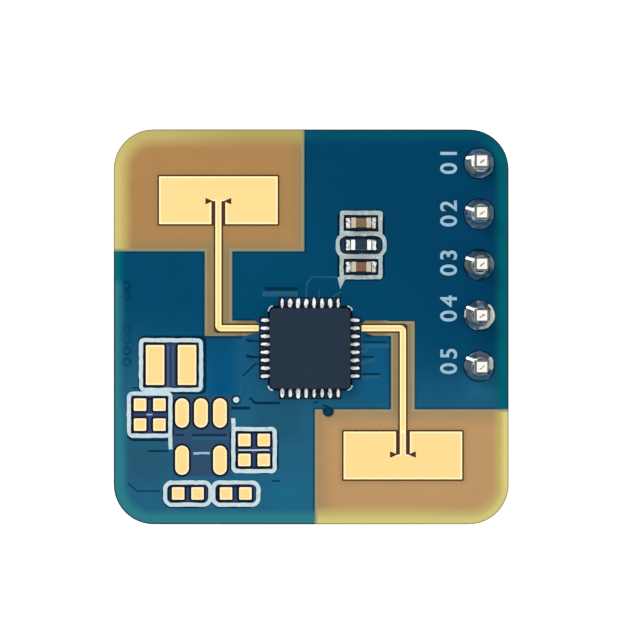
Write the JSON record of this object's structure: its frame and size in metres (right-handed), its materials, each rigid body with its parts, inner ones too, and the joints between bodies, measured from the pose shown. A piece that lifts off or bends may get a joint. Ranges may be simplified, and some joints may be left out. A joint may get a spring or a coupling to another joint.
{
  "type": "microwave radar sensor module",
  "caption": "Square circuit board with patch antennas, a radar chip and bare gold pads on its face, and a pin header along one edge of its back; senses presence by radar.",
  "frame": {"origin": "middle pin's axis, on the mating face of the header's plastic strip", "axes": "+Z the way the antennas look, +Y along the row of pins towards the first pin, +X from the board's middle towards the row of pins"},
  "size_m": [0.0198, 0.0198, 0.0116],
  "materials": {
    "upper_laminate": "woven glass laminate, satin",
    "lower_laminate": "woven glass laminate, cut edge",
    "bare_copper": "etched copper under mask",
    "solder_mask": "blue cured film, semi-gloss",
    "gold_plate": "immersion gold, matte",
    "white_ink": "printed ink, matte",
    "radar_mould": "moulded epoxy, matte",
    "processor_mould": "moulded epoxy, matte",
    "regulator_mould": "moulded epoxy, matte",
    "tinned_metal": "matte tin plating",
    "solder": "reflowed solder, bright",
    "tan_ceramic": "fired, matte",
    "red_ceramic": "fired, matte",
    "white_ceramic": "fired, matte",
    "resistor_glaze": "glazed coat",
    "header_plastic": "moulded, satin",
    "pin_metal": "tin-plated, bright",
    "crystal_ceramic": "fired, matte",
    "crystal_metal": "plated lid, satin"
  },
  "bodies": {
    "root": {"upper_laminate": "upper_laminate", "copper_plane": "bare_copper", "lower_laminate": "lower_laminate", "front_pour": "bare_copper", "back_pour": "bare_copper", "front_mask": "solder_mask", "back_mask": "solder_mask", "upper_antenna": "gold_plate", "lower_antenna": "gold_plate", "tented_vias": "bare_copper", "coil_pads": "gold_plate", "oblong_pads": "gold_plate", "square_pads": "gold_plate", "printed_outlines": "white_ink", "radar_chip_body": "radar_mould", "radar_chip_lands": "tinned_metal", "radar_chip_pads": "gold_plate", "radar_chip_solder": "solder", "upper_capacitor_body": "tan_ceramic", "upper_capacitor_ends": "tinned_metal", "lower_capacitor_body": "red_ceramic", "lower_capacitor_ends": "tinned_metal", "resistor_core": "white_ceramic", "resistor_coat": "resistor_glaze", "resistor_ends": "tinned_metal", "filter_pads": "gold_plate", "filter_solder": "solder", "header_strip": "header_plastic", "header_barrels": "gold_plate", "header_solder": "solder", "header_pin_1": "pin_metal", "header_pin_2": "pin_metal", "header_pin_3": "pin_metal", "header_pin_4": "pin_metal", "header_pin_5": "pin_metal", "processor_body": "processor_mould", "processor_lands": "tinned_metal", "processor_solder": "solder", "crystal_base": "crystal_ceramic", "crystal_lid": "crystal_metal", "crystal_solder": "solder", "supply_regulator_body": "regulator_mould", "supply_regulator_leads": "tinned_metal", "supply_regulator_solder": "solder", "back_capacitor_bodies": "tan_ceramic", "back_capacitor_ends": "tinned_metal", "back_resistor_cores": "white_ceramic", "back_resistor_coats": "resistor_glaze", "back_resistor_ends": "tinned_metal", "back_solder": "solder", "back_pads": "gold_plate"}
  },
  "joints": []
}
